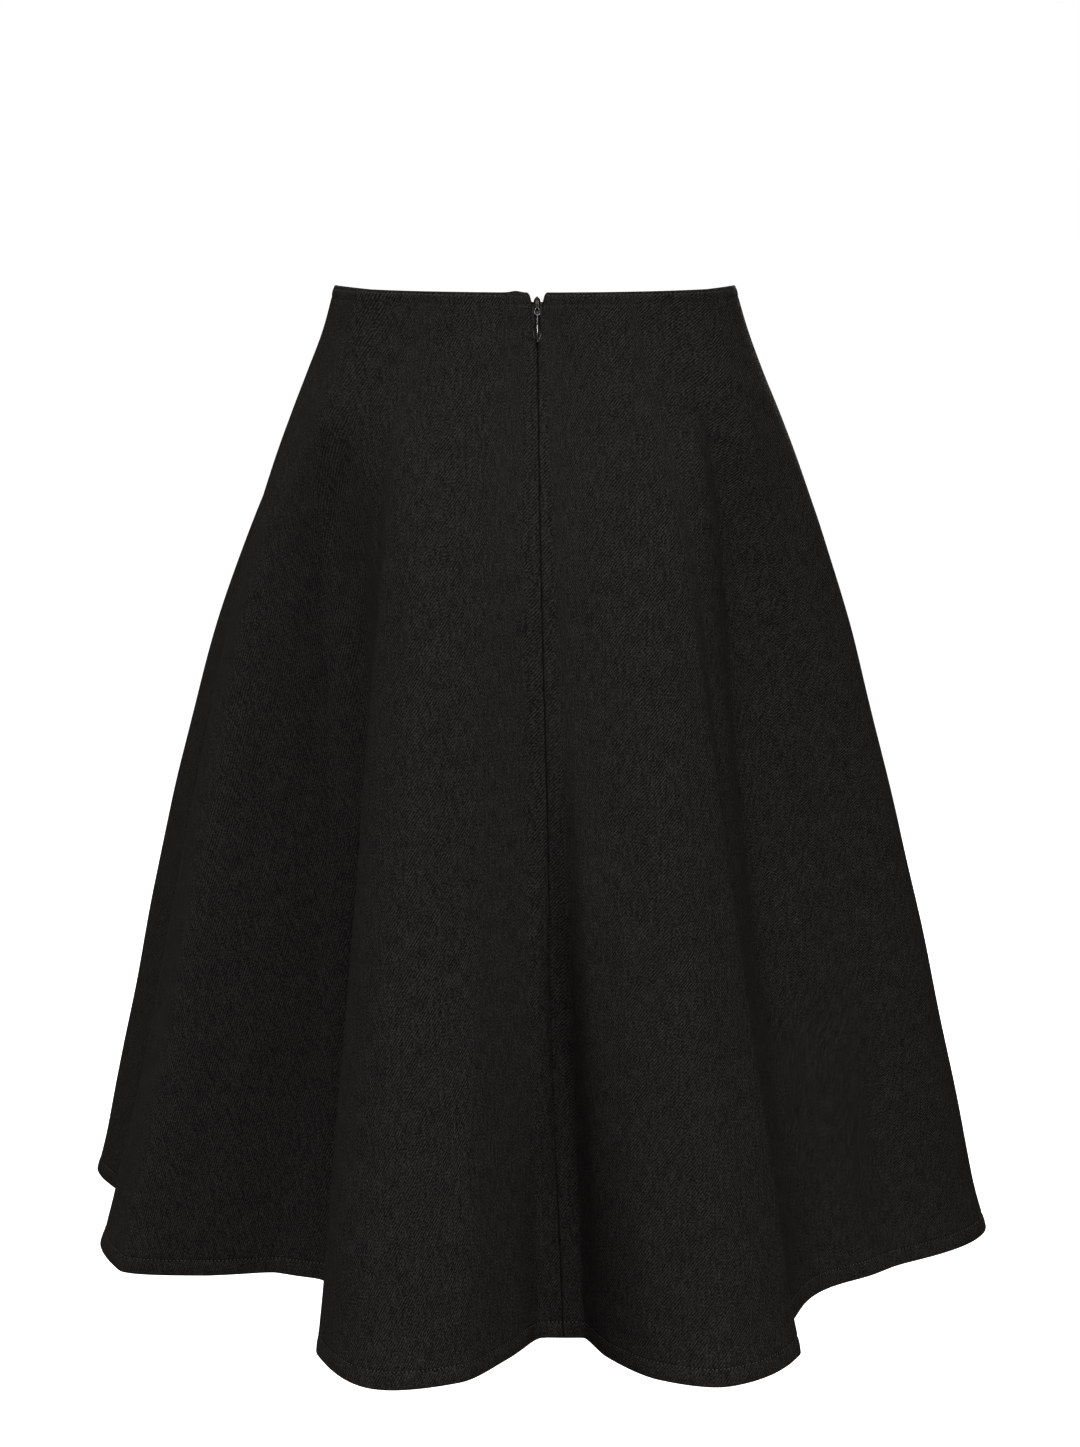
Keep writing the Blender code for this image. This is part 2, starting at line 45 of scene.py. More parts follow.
# The cloth's form. Angles are degrees round the vertical axis from the centre back towards +X,
# taken where the thread meets the hem. Drops are metres below the waist edge.
skirtForm = {
    "length": 0.619,
    "wall": 0.0014,
    "turnedWall": 0.0024,
    "waistTurn": 0.007,
    "hemTurn": 0.010,
    "frontDip": 0.0152,        # 3 mm more than the solids', so no front edge shows in the notch
    "dipPower": 1.2,
    "hemKick": 0.003,
    "kickHeight": 0.040,
    "onsetPower": 1.5,
    # drop, right width, left width, depth behind, depth in front
    "sections": [
        (0.000, 0.1225, 0.1290, 0.0875, 0.0875),
        (0.027, 0.1306, 0.1364, 0.0960, 0.0965),
        (0.053, 0.1404, 0.1464, 0.1060, 0.1060),
        (0.078, 0.1510, 0.1570, 0.1170, 0.1150),
        (0.103, 0.1610, 0.1674, 0.1285, 0.1235),
        (0.129, 0.1706, 0.1770, 0.1395, 0.1310),
        (0.154, 0.1794, 0.1852, 0.1490, 0.1380),
        (0.206, 0.1952, 0.2005, 0.1660, 0.1520),
        (0.258, 0.2090, 0.2140, 0.1820, 0.1660),
        (0.310, 0.2224, 0.2258, 0.1970, 0.1800),
        (0.364, 0.2356, 0.2373, 0.2125, 0.1945),
        (0.417, 0.2485, 0.2483, 0.2275, 0.2090),
        (0.471, 0.2609, 0.2597, 0.2430, 0.2240),
        (0.526, 0.2727, 0.2723, 0.2590, 0.2395),
        (0.581, 0.2838, 0.2855, 0.2745, 0.2550),
        (0.619, 0.2915, 0.2935, 0.2850, 0.2650),
    ],
    # angle, reach at the hem, drop where it begins, sway up to the waist, onset
    "folds": [
        (7.2, 0.2005, 0.160, -5.5, 2.00),
        (9.5, 0.2320, 0.160, -4.8, 2.00),
        (14.5, 0.2730, 0.120, -3.2, 1.00),
        (22.0, 0.2945, 0.080, -2.5, 0.50),
        (34.0, 0.2740, 0.110, -1.5, 0.50),
        (38.5, 0.2380, 0.110, -1.5, 0.50),
        (54.0, 0.2130, 0.060, -2.0, 0.20),
        (70.0, 0.2400, 0.060, -3.0, 0.20),
        (89.0, 0.2925, 0.050, -4.0, 0.20),
        (112.0, 0.2320, 0.070, -4.0, 0.30),
        (131.0, 0.2850, 0.070, -4.0, 0.40),
        (150.0, 0.2020, 0.080, -4.0, 0.50),
        (168.0, 0.2750, 0.080, -4.0, 0.50),
        (186.0, 0.2030, 0.080, -4.0, 0.50),
        (204.0, 0.2800, 0.080, -4.0, 0.50),
        (222.0, 0.2200, 0.080, -2.0, 0.40),
        (236.0, 0.2730, 0.060, 4.0, 0.30),
        (247.5, 0.3310, 0.050, 8.0, 0.20),
        (256.0, 0.3000, 0.050, 6.5, 0.20),
        (264.0, 0.2450, 0.050, 3.0, 0.20),
        (277.0, 0.2865, 0.050, -3.0, 0.20),
        (288.0, 0.2800, 0.060, -6.0, 0.20),
        (294.5, 0.2330, 0.070, -7.0, 0.20),
        (299.0, 0.1880, 0.070, -8.0, 0.20),
        (309.0, 0.1720, 0.070, -8.5, 0.20),
        (323.5, 0.2130, 0.075, -8.5, 0.20),
        (330.0, 0.2620, 0.080, -8.5, 0.30),
        (341.0, 0.2930, 0.080, -7.0, 0.50),
        (350.5, 0.2710, 0.120, -5.5, 1.00),
        (355.5, 0.2330, 0.150, -5.0, 2.00),
        (360.8, 0.1990, 0.160, -4.8, 2.00),
    ],
    # top angle, top drop, low angle, low drop, half width in degrees, depth
    "troughs": [
        (312.0, 0.055, 294.0, 0.230, 7.0, 0.0050),
        (294.0, 0.120, 293.0, 0.480, 5.0, 0.0060),
        (51.0, 0.045, 66.0, 0.260, 6.0, 0.0045),
        (73.0, 0.420, 68.0, 0.700, 4.0, 0.0045),
        (344.0, 0.230, 362.0, 0.640, 4.0, 0.0055),
        (5.5, 0.290, 7.5, 0.600, 2.0, 0.0040),
    ],
}

# Creases laid on one by one: top angle, top drop, low angle, low drop,
# half width across in metres, depth (a ridge is negative)
skirtCreases = [
    # beside the zip
    (357.0, 0.004, 355.0, 0.120, 0.0045, 0.0016),
    (12.0, 0.002, 14.0, 0.070, 0.0050, 0.0016),
    (8.0, 0.010, 9.0, 0.110, 0.0040, -0.0008),
    (2.5, 0.030, 1.5, 0.300, 0.0035, 0.0004),
    (6.0, 0.030, 6.5, 0.300, 0.0035, 0.0004),
    # pulls from the zip's end
    (4.5, 0.285, 14.0, 0.370, 0.0060, 0.0012),
    (3.5, 0.290, 358.0, 0.360, 0.0060, 0.0008),
    (6.0, 0.300, 20.0, 0.420, 0.0080, -0.0008),
    # below the zip the cloth comes flat to the seam from the left, and
    # rises at once to its right
    (0.5, 0.180, 0.0, 0.600, 0.0090, -0.0045),
    (8.4, 0.140, 9.0, 0.610, 0.0105, -0.0070),
    (4.7, 0.290, 5.0, 0.600, 0.0065, 0.0055),
    # the hollow left of the left crest
    (308.0, 0.250, 306.0, 0.720, 0.0080, 0.0045),
    (327.0, 0.200, 325.0, 0.720, 0.0060, -0.0025),
    # hips
    (335.0, 0.012, 318.0, 0.110, 0.0110, 0.0012),
    (300.0, 0.020, 288.0, 0.150, 0.0120, 0.0012),
    (322.0, 0.060, 303.0, 0.330, 0.0100, 0.0016),
    (40.0, 0.015, 56.0, 0.120, 0.0110, 0.0012),
    (72.0, 0.020, 84.0, 0.160, 0.0120, 0.0010),
    (60.0, 0.100, 75.0, 0.340, 0.0110, 0.0014),
    # along the flutes
    (336.0, 0.250, 333.0, 0.560, 0.0100, 0.0012),
    (347.0, 0.330, 350.0, 0.600, 0.0090, 0.0010),
    (17.0, 0.240, 18.0, 0.560, 0.0100, 0.0010),
    (28.0, 0.300, 29.0, 0.590, 0.0110, 0.0012),
    (281.0, 0.250, 283.0, 0.590, 0.0100, 0.0010),
    (80.0, 0.300, 79.0, 0.600, 0.0110, 0.0012),
    (95.0, 0.200, 97.0, 0.520, 0.0110, 0.0010),
    # hidden sides and front, in the same manner
    (118.0, 0.020, 127.0, 0.170, 0.0120, 0.0012),
    (125.0, 0.220, 124.0, 0.570, 0.0110, 0.0014),
    (140.0, 0.150, 144.0, 0.420, 0.0100, 0.0012),
    (160.0, 0.030, 155.0, 0.160, 0.0120, 0.0010),
    (171.0, 0.260, 172.0, 0.590, 0.0100, 0.0012),
    (195.0, 0.180, 193.0, 0.450, 0.0100, 0.0012),
    (205.0, 0.300, 207.0, 0.600, 0.0110, 0.0012),
    (214.0, 0.030, 222.0, 0.180, 0.0120, 0.0012),
    (228.0, 0.200, 226.0, 0.520, 0.0110, 0.0014),
    (244.0, 0.240, 245.0, 0.590, 0.0110, 0.0014),
    (252.0, 0.060, 262.0, 0.300, 0.0120, 0.0014),
    (270.0, 0.180, 272.0, 0.520, 0.0100, 0.0012),
]

# seams, in degrees: centre back, right side, left side, centre back again
seamAngles = {"back": 4.0, "right": 97.0, "left": 263.0, "around": 364.0}

panelCuts = {
    "backRight": {
        "node": "panel_back_right", "start": seamAngles["back"], "end": seamAngles["right"],
        "columns": 260, "zipEdge": "start", "grainAt": seamAngles["back"],
    },
    "front": {
        "node": "panel_front", "start": seamAngles["right"], "end": seamAngles["left"],
        "columns": 300, "zipEdge": None, "grainAt": 180.0,
    },
    "backLeft": {
        "node": "panel_back_left", "start": seamAngles["left"], "end": seamAngles["around"],
        "columns": 270, "zipEdge": "end", "grainAt": seamAngles["around"],
    },
}

panelMaking = {
    "middleRows": 118,         # between the close rows of the waist and of the hem
    "quickRows": 28,
    "arcSamples": 1201,        # along a row, to find lengths
    "spacingSamples": 1441,
    "hemSamples": 2881,
    "bendWeight": 0.03,        # metres of hem that a radian of bend counts for
    "seamRoll": 0.0008,        # radius of a panel's edge at a seam
    "backRoll": 0.0012,        # at the centre back seam
    "zipRoll": 0.0014,         # and where the zip closes it
    "zipRollEnd": 0.31,
    "zipRollFade": 0.02,
    "backSink": 1.45,          # the centre back edges turn in this much deeper than round
    "leastWall": 0.0002,
    "edgeRoll": 0.0009,        # radius of the waist edge and the hem
    "edgeColumns": [0.0, 0.0002, 0.0005, 0.0009, 0.0014, 0.0022, 0.0034],
    "waistRows": [
        0.0, 0.0002, 0.0005, 0.0009, 0.0014, 0.0019, 0.0026, 0.0036, 0.0050, 0.0062,
        0.0070, 0.0076, 0.0084, 0.0100, 0.0125, 0.0160, 0.0200, 0.0240, 0.0280,
    ],
    "hemRows": [
        0.0125, 0.0112, 0.0102, 0.0096, 0.0090, 0.0080, 0.0066, 0.0050, 0.0036,
        0.0024, 0.0014, 0.0009, 0.0005, 0.0002, 0.0,
    ],
    # from the edge, width and height: a soft roll, then the step and the line of its stitches
    "waistPuffs": [(0.0040, 0.0024, 0.00035), (0.0074, 0.0007, -0.00021), (0.0018, 0.0005, -0.000175)],
    "hemPuffs": [(0.0050, 0.0030, 0.00030), (0.0095, 0.0008, -0.00057)],
    # waves round the skirt, height and phase: the hem puckers between its stitches
    "hemPuckers": [(118, 0.00025, 0.0), (71, 0.00015, 1.0)],
    "puckerPlace": (0.0090, 0.0065),
    # waves round, waves down in radians a metre, height and phase, all over the cloth
    "wavers": [(17, 21, 0.000275, 0.0), (29, -34, 0.000275, 1.3), (11, 63, 0.0001925, 2.1)],
    "waverStart": 0.12,        # full below this drop
    "cornerLift": 0.0009,      # the edge left of the notch stands up a little
    "cornerPlace": 0.0105,
    "cornerReach": 0.0050,
    "cornerFade": 0.006,
    # half width of the gap round the slider, by drop
    "notchDrops": [0.0, 0.0010, 0.0022, 0.0060, 0.0165, 0.0230, 0.0240],
    "notchHalf": [0.0058, 0.0047, 0.0042, 0.0032, 0.0029, 0.0001, 0.0],
    "notchFade": 0.030,
    # the flat cut: a fan whose middle is the waist's centre
    "fanInner": 0.2885,
    "fanDepth": 0.632,
    "fanAngle": 2.343,
}


def smoothTable(xs, ys):
    # curve through the points that doesn't overshoot them
    xs = np.array(xs, float)
    ys = np.array(ys, float)
    steps = np.diff(ys) / np.diff(xs)
    both = steps[:-1] * steps[1:]
    total = steps[:-1] + steps[1:]
    inner = np.where(both > 0, 2 * both / np.where(total == 0, 1, total), 0.0)
    slopes = np.concatenate([[steps[0]], inner, [steps[-1]]])

    def valueAt(at):
        at = np.clip(at, xs[0], xs[-1])
        k = np.clip(np.searchsorted(xs, at, side="right") - 1, 0, len(xs) - 2)
        span = xs[k + 1] - xs[k]
        u = (at - xs[k]) / span
        return (
            ys[k] * (1 + 2 * u) * (1 - u) ** 2
            + slopes[k] * span * u * (1 - u) ** 2
            + ys[k + 1] * u * u * (3 - 2 * u)
            + slopes[k + 1] * span * u * u * (u - 1)
        )

    return valueAt


def roundTable(rows, column):
    xs = [row[0] + turn for turn in (-360, 0, 360) for row in rows]
    return smoothTable(xs, [row[column] for row in rows] * 3)


foldReach = roundTable(skirtForm["folds"], 1)
foldStart = roundTable(skirtForm["folds"], 2)
foldSway = roundTable(skirtForm["folds"], 3)
foldOnset = roundTable(skirtForm["folds"], 4)
sectionDrops = [row[0] for row in skirtForm["sections"]]
rightWidth, leftWidth, backDepth, frontDepth = (
    smoothTable(sectionDrops, [row[k] for row in skirtForm["sections"]]) for k in (1, 2, 3, 4)
)


def outlineReach(angle, drop):
    a = np.radians(angle)
    width = np.where(np.sin(a) > 0, rightWidth(drop), leftWidth(drop))
    depth = np.where(np.cos(a) > 0, backDepth(drop), frontDepth(drop))
    return 1 / np.hypot(np.sin(a) / width, np.cos(a) / depth)


def alongPath(angle, drop, topAngle, topDrop, lowAngle, lowDrop):
    # share of the way down a crease, and degrees aside from it
    along = (drop - topDrop) / (lowDrop - topDrop)
    turn = (lowAngle - topAngle + 180) % 360 - 180
    aside = (angle - topAngle - turn * along + 180) % 360 - 180
    inside = (along > 0) & (along < 1)
    return np.where(inside, np.sin(np.pi * np.clip(along, 0, 1)) ** 2, 0.0), aside


def clothPoints(angle, drop, withCreases=True):
    # points of the outer face, as the solids have them, and with the creases
    angle, drop = np.broadcast_arrays(np.asarray(angle, float), np.asarray(drop, float))
    form = skirtForm
    turned = angle + foldSway(angle % 360) * (1 - drop / form["length"])
    depth = foldReach(angle % 360) - outlineReach(angle, form["length"] + 0 * drop)
    start = foldStart(angle % 360)
    u = np.clip((drop - start) / (form["length"] - start), 0, None) ** form["onsetPower"]
    onset = foldOnset(angle % 360)
    share = (1 + onset) * u / (u + onset)
    reach = outlineReach(turned, drop) + depth * share
    nearHem = np.clip(1 - (form["length"] - drop) / form["kickHeight"], 0, None)
    reach = reach + form["hemKick"] * nearHem ** 2
    for topAngle, topDrop, lowAngle, lowDrop, half, deep in form["troughs"]:
        strength, aside = alongPath(angle, drop, topAngle, topDrop, lowAngle, lowDrop)
        reach = reach - deep * strength * np.exp(-(aside / half) ** 2)
    if withCreases:
        for topAngle, topDrop, lowAngle, lowDrop, half, deep in skirtCreases:
            strength, aside = alongPath(angle, drop, topAngle, topDrop, lowAngle, lowDrop)
            across = np.radians(aside) * reach / half
            reach = reach - deep * strength * np.exp(-across ** 2)
        for around, down, high, phase in panelMaking["wavers"]:
            wave = high * np.sin(np.radians(angle) * around + drop * down + phase)
            reach = reach + wave * np.clip(drop / panelMaking["waverStart"], 0, 1)
    a = np.radians(turned)
    front = np.clip(-np.cos(a), 0, None) ** form["dipPower"]
    dip = form["frontDip"] * front * (1 - drop / form["length"])
    return np.stack([reach * np.sin(a), -reach * np.cos(a), -drop - dip], -1)


def clothNormals(angle, drop):
    stepAngle, stepDrop = 0.15, 0.001
    low = np.clip(drop - stepDrop, 0, None)
    high = np.clip(drop + stepDrop, None, skirtForm["length"])
    along = clothPoints(angle + stepAngle, drop) - clothPoints(angle - stepAngle, drop)
    down = clothPoints(angle, high) - clothPoints(angle, low)
    normal = np.cross(down, along)
    return normal / np.linalg.norm(normal, axis=-1, keepdims=True)


def panelColumns(start, end, count):
    # angles evenly spaced along the hem, closer where it bends
    fine = np.linspace(start, end, panelMaking["spacingSamples"])
    points = clothPoints(fine, np.full_like(fine, skirtForm["length"]), False)
    steps = np.diff(points, axis=0)
    lengths = np.linalg.norm(steps, axis=1)
    ahead = steps / lengths[:, None]
    bends = np.arccos(np.clip((ahead[:-1] * ahead[1:]).sum(1), -1, 1))
    weights = lengths + panelMaking["bendWeight"] * np.concatenate([bends, [0]])
    run = np.concatenate([[0], np.cumsum(weights)])
    return np.interp(np.linspace(0, run[-1], count), run, fine)


def runAlong(points):
    # length of a line of points up to each of them
    return np.concatenate([[0], np.cumsum(np.linalg.norm(np.diff(points, axis=0), axis=1))])


hemFine = np.linspace(seamAngles["back"], seamAngles["around"], panelMaking["hemSamples"])
hemRun = runAlong(clothPoints(hemFine, np.full_like(hemFine, skirtForm["length"]), False))


def flatPlace(angle, drop, grainAt):
    # where a point of the cloth lies on the flat cut
    making = panelMaking
    share = np.interp(angle, hemFine, hemRun) / hemRun[-1]
    grainShare = np.interp(grainAt, hemFine, hemRun) / hemRun[-1]
    a = (share - grainShare) * making["fanAngle"]
    r = making["fanInner"] + making["fanDepth"] * drop / skirtForm["length"]
    return r * np.sin(a), -r * np.cos(a)


def rollIn(distance, radius):
    # how far a rounded edge drops away at a distance from the edge
    x = np.clip(radius - distance, 0, radius)
    return radius - np.sqrt(np.clip(radius ** 2 - x ** 2, 0, None))


def panelGrid(cut):
    making = panelMaking
    form = skirtForm
    rows = making["middleRows"]
    columns = cut["columns"]
    length = form["length"]
    middleDrops = np.linspace(making["waistRows"][-1], length - making["hemRows"][0], rows + 2)[1:-1]
    drops = np.concatenate([making["waistRows"], middleDrops, length - np.array(making["hemRows"])])
    edge = np.array(making["edgeColumns"])
    inner = panelColumns(cut["start"], cut["end"], columns - 2 * len(edge) + 2)
    fine = np.linspace(cut["start"], cut["end"], making["arcSamples"])
    angles, fromStart, fromEnd = [], [], []
    for drop in drops:
        run = runAlong(clothPoints(fine, np.full_like(fine, drop), False))
        whole = run[-1]
        shares = np.interp(inner, fine, run) / whole
        middle = edge[-1] + (whole - 2 * edge[-1]) * shares[1:-1]
        place = np.concatenate([edge, middle, whole - edge[::-1]])
        notch = np.interp(drop, making["notchDrops"], making["notchHalf"])
        first = notch if cut["zipEdge"] == "start" else 0.0
        last = notch if cut["zipEdge"] == "end" else 0.0
        fadeFirst = np.clip(1 - place / making["notchFade"], 0, None) ** 2
        fadeLast = np.clip(1 - (whole - place) / making["notchFade"], 0, None) ** 2
        moved = place + first * fadeFirst - last * fadeLast
        angles.append(np.interp(moved, run, fine))
        fromStart.append(place)
        fromEnd.append(whole - place)
    angles = np.array(angles)
    dropGrid = np.repeat(drops[:, None], angles.shape[1], axis=1)
    return angles, dropGrid, np.array(fromStart), np.array(fromEnd)


def hump(distance, middle, width):
    return np.exp(-((distance - middle) / width) ** 2)


def panelSurfaces(cut):
    making = panelMaking
    form = skirtForm
    angles, drops, fromStart, fromEnd = panelGrid(cut)
    points = clothPoints(angles, drops)
    normals = clothNormals(angles, drops)
    fromHem = form["length"] - drops
    puff = sum(high * hump(drops, middle, width) for middle, width, high in making["waistPuffs"])
    puff += sum(high * hump(fromHem, middle, width) for middle, width, high in making["hemPuffs"])
    for waves, high, phase in making["hemPuckers"]:
        puff += high * np.sin(np.radians(angles) * waves + phase) * hump(fromHem, *making["puckerPlace"])
    atZip = np.clip((making["zipRollEnd"] - drops) / making["zipRollFade"], 0, 1)
    closed = making["backRoll"] + (making["zipRoll"] - making["backRoll"]) * atZip
    plain = making["seamRoll"] + 0 * drops
    rolls = []
    for edge, distance in (("start", fromStart), ("end", fromEnd)):
        if cut["zipEdge"] == edge:
            rolls.append(making["backSink"] * rollIn(distance, closed))
        else:
            rolls.append(rollIn(distance, plain))
    roll = np.maximum(*rolls)
    roll = np.maximum(roll, rollIn(drops, making["edgeRoll"]))
    roll = np.maximum(roll, rollIn(fromHem, making["edgeRoll"]))
    if cut["zipEdge"] == "end":
        lift = making["cornerLift"] * hump(fromEnd, making["cornerPlace"], making["cornerReach"])
        points[..., 2] += lift * np.exp(-drops / making["cornerFade"])
    outer = points + normals * (puff - roll)[..., None]
    turned = (drops <= form["waistTurn"]) | (fromHem <= form["hemTurn"])
    wall = np.where(turned, form["turnedWall"], form["wall"])
    wall = np.maximum(wall, roll - puff + making["leastWall"])
    inner = points - normals * wall[..., None]
    u, v = flatPlace(angles, drops, cut["grainAt"])
    return outer, inner, np.stack([u, v], -1)


def gridShell(name, outer, inner, flat):
    # closed wall: an outer grid, its copy inside, and a bridge round the rim
    rows, columns = outer.shape[:2]
    shell = bmesh.new()
    bmesh.ops.create_grid(shell, x_segments=columns - 1, y_segments=rows - 1, size=1)
    shell.verts.ensure_lookup_table()
    column = [min(columns - 1, max(0, round((v.co.x + 1) / 2 * (columns - 1)))) for v in shell.verts]
    row = [min(rows - 1, max(0, round((1 - v.co.y) / 2 * (rows - 1)))) for v in shell.verts]
    grain = shell.loops.layers.uv.new("grain")
    place = {v: (r, c) for v, r, c in zip(shell.verts, row, column)}
    copied = bmesh.ops.duplicate(shell, geom=shell.verts[:] + shell.edges[:] + shell.faces[:])
    for v, (r, c) in list(place.items()):
        v.co = outer[r, c]
    twins = copied["vert_map"]
    for v, (r, c) in list(place.items()):
        twin = twins[v]
        twin.co = inner[r, c]
        place[twin] = (r, c)
    backFaces = [f for f in copied["geom"] if isinstance(f, bmesh.types.BMFace)]
    bmesh.ops.reverse_faces(shell, faces=backFaces)
    rim = [e for e in shell.edges if e.is_boundary]
    bmesh.ops.bridge_loops(shell, edges=rim)
    for face in shell.faces:
        face.smooth = True
        for loop in face.loops:
            r, c = place[loop.vert]
            loop[grain].uv = flat[r, c]
    bmesh.ops.recalc_face_normals(shell, faces=shell.faces)
    return pieceFrom(shell, name)


def pieceFrom(shape, name):
    mesh = bpy.data.meshes.new(name)
    shape.to_mesh(mesh)
    shape.free()
    made = bpy.data.objects.new(name, mesh)
    bpy.context.scene.collection.objects.link(made)
    return made


# Materials.
def newGroup(name, inputs, outputs):
    group = bpy.data.node_groups.new(name, "ShaderNodeTree")
    for label, kind, default in inputs:
        socket = group.interface.new_socket(name=label, in_out="INPUT", socket_type=kind)
        if default is not None:
            socket.default_value = default
    for label, kind in outputs:
        group.interface.new_socket(name=label, in_out="OUTPUT", socket_type=kind)
    start = group.nodes.new("NodeGroupInput")
    end = group.nodes.new("NodeGroupOutput")
    return group, start, end


def mathNode(group, operation, first, second=None, clamp=False):
    node = group.nodes.new("ShaderNodeMath")
    node.operation = operation
    node.use_clamp = clamp
    for k, value in enumerate((first, second)):
        if value is None:
            continue
        if isinstance(value, (int, float)):
            node.inputs[k].default_value = value
        else:
            group.links.new(value, node.inputs[k])
    return node.outputs[0]


twillWeave = {
    "ribPitch": 0.00136,       # across the ribs, in metres
    "ribLean": 55.0,           # degrees from the crosswise thread
    "threadPitch": 0.00055,
    "mean": (0.0165, 0.0145, 0.0131),
    # the ribs' tone is painted light: lighter on the ridges, darker in the grooves, in step with their bump
    "ribLightAndShade": 1.95,
    "threadContrast": 0.5,
    "speckContrast": 6.5,
    "streakContrast": 2.2,
    "cloudContrast": 0.6,
    "roughness": 0.88,
    "specular": 0.12,
    "bump": 0.5,
    "bumpDistance": 0.00018,
    # scale in waves a metre, and detail
    "noises": {
        "wander": (150.0, 2.0),
        "speck": (900.0, 3.0),
        "streak": ((520.0, 110.0, 1.0), 2.0),
        "cloud": (60.0, 2.0),
        "patch": (170.0, 1.0),
    },
    "wanderReach": 0.0011,     # the ribs wander by this much, in metres
    "patchContrast": 3.2,      # and show in patches, as the yarn is uneven
    "patchMean": 0.62,
    "darkest": 0.12,
    "heights": {"rib": 0.5, "thread": 0.2, "speck": 1.2},
    "speckRoughness": 0.3,
}


def noiseNode(group, place, name):
    # noise about nought
    scale, detail = twillWeave["noises"][name]
    if isinstance(scale, tuple):
        stretch = group.nodes.new("ShaderNodeMapping")
        stretch.inputs["Scale"].default_value = scale
        group.links.new(place, stretch.inputs["Vector"])
        place = stretch.outputs[0]
        scale = 1.0
    noise = group.nodes.new("ShaderNodeTexNoise")
    noise.inputs["Scale"].default_value = scale
    noise.inputs["Detail"].default_value = detail
    group.links.new(place, noise.inputs["Vector"])
    return mathNode(group, "SUBTRACT", noise.outputs[0], 0.5)


def makeTwillGroup():
    weave = twillWeave
    group, start, end = newGroup(
        "twillWeave",
        [("Place", "NodeSocketVector", None), ("Mean", "NodeSocketColor", (*weave["mean"], 1))],
        [("Colour", "NodeSocketColor"), ("Height", "NodeSocketFloat"), ("Roughness", "NodeSocketFloat")],
    )
    place = start.outputs["Place"]
    lean = math.radians(weave["ribLean"])
    split = group.nodes.new("ShaderNodeSeparateXYZ")
    group.links.new(place, split.inputs[0])
    u, v = split.outputs[0], split.outputs[1]
    across = mathNode(
        group, "ADD",
        mathNode(group, "MULTIPLY", u, -math.sin(lean)),
        mathNode(group, "MULTIPLY", v, math.cos(lean)),
    )
    wander = mathNode(group, "MULTIPLY", noiseNode(group, place, "wander"), weave["wanderReach"])
    across = mathNode(group, "ADD", across, wander)
    rib = mathNode(group, "SINE", mathNode(group, "MULTIPLY", across, 2 * math.pi / weave["ribPitch"]))
    thread = mathNode(group, "SINE", mathNode(group, "MULTIPLY", v, 2 * math.pi / weave["threadPitch"]))
    speck = noiseNode(group, place, "speck")
    streak = noiseNode(group, place, "streak")
    cloud = noiseNode(group, place, "cloud")
    patch = noiseNode(group, place, "patch")
    patch = mathNode(group, "MULTIPLY", patch, weave["patchContrast"])
    patch = mathNode(group, "ADD", patch, weave["patchMean"], True)
    # painted light: the ribs are coloured lighter on their ridges and darker in their grooves, in patches
    ribPaintedLight = mathNode(group, "MULTIPLY", rib, patch)
    shade = mathNode(group, "MULTIPLY", ribPaintedLight, 0.5 * weave["ribLightAndShade"])
    for value, strength in (
        (thread, 0.5 * weave["threadContrast"]),
        (speck, weave["speckContrast"]),
        (streak, weave["streakContrast"]),
        (cloud, weave["cloudContrast"]),
    ):
        shade = mathNode(group, "ADD", shade, mathNode(group, "MULTIPLY", value, strength))
    shade = mathNode(group, "MAXIMUM", mathNode(group, "ADD", shade, 1.0), weave["darkest"])
    scaled = group.nodes.new("ShaderNodeVectorMath")
    scaled.operation = "SCALE"
    group.links.new(start.outputs["Mean"], scaled.inputs[0])
    group.links.new(shade, scaled.inputs["Scale"])
    group.links.new(scaled.outputs[0], end.inputs["Colour"])
    height = mathNode(group, "MULTIPLY", rib, weave["heights"]["rib"])
    for value, name in ((thread, "thread"), (speck, "speck")):
        height = mathNode(group, "ADD", height, mathNode(group, "MULTIPLY", value, weave["heights"][name]))
    group.links.new(height, end.inputs["Height"])
    rough = mathNode(group, "MULTIPLY", speck, weave["speckRoughness"])
    rough = mathNode(group, "ADD", rough, weave["roughness"], True)
    group.links.new(rough, end.inputs["Roughness"])
    return group


def plainMaterial(name, colour, roughness, metallic=0.0):
    material = bpy.data.materials.new(name)
    material.use_nodes = True
    shader = material.node_tree.nodes["Principled BSDF"]
    shader.inputs["Base Color"].default_value = (*colour, 1)
    shader.inputs["Roughness"].default_value = roughness
    shader.inputs["Metallic"].default_value = metallic
    return material, shader


def makeTwill(name, group):
    material, shader = plainMaterial(name, twillWeave["mean"], twillWeave["roughness"])
    tree = material.node_tree
    place = tree.nodes.new("ShaderNodeUVMap")
    place.uv_map = "grain"
    weave = tree.nodes.new("ShaderNodeGroup")
    weave.node_tree = group
    weave.inputs["Mean"].default_value = (*twillWeave["mean"], 1)
    tree.links.new(place.outputs[0], weave.inputs["Place"])
    tree.links.new(weave.outputs["Colour"], shader.inputs["Base Color"])
    tree.links.new(weave.outputs["Roughness"], shader.inputs["Roughness"])
    bump = tree.nodes.new("ShaderNodeBump")
    bump.inputs["Strength"].default_value = twillWeave["bump"]
    bump.inputs["Distance"].default_value = twillWeave["bumpDistance"]
    tree.links.new(weave.outputs["Height"], bump.inputs["Height"])
    tree.links.new(bump.outputs[0], shader.inputs["Normal"])
    shader.inputs["Specular IOR Level"].default_value = twillWeave["specular"]
    return material


twillGroup = makeTwillGroup()
twill = makeTwill("blackTwill", twillGroup)

# the near-black bead colour is painted shade, the shadow in the hem's needle holes
threadLook = {"colour": (0.060, 0.057, 0.054), "roughness": 0.6, "hole": (0.0012, 0.0011, 0.0010)}
thread, _ = plainMaterial("blackThread", threadLook["colour"], threadLook["roughness"])
holeShade, holeShader = plainMaterial("holeShade", threadLook["hole"], 1.0)
holeShader.inputs["Specular IOR Level"].default_value = 0.0

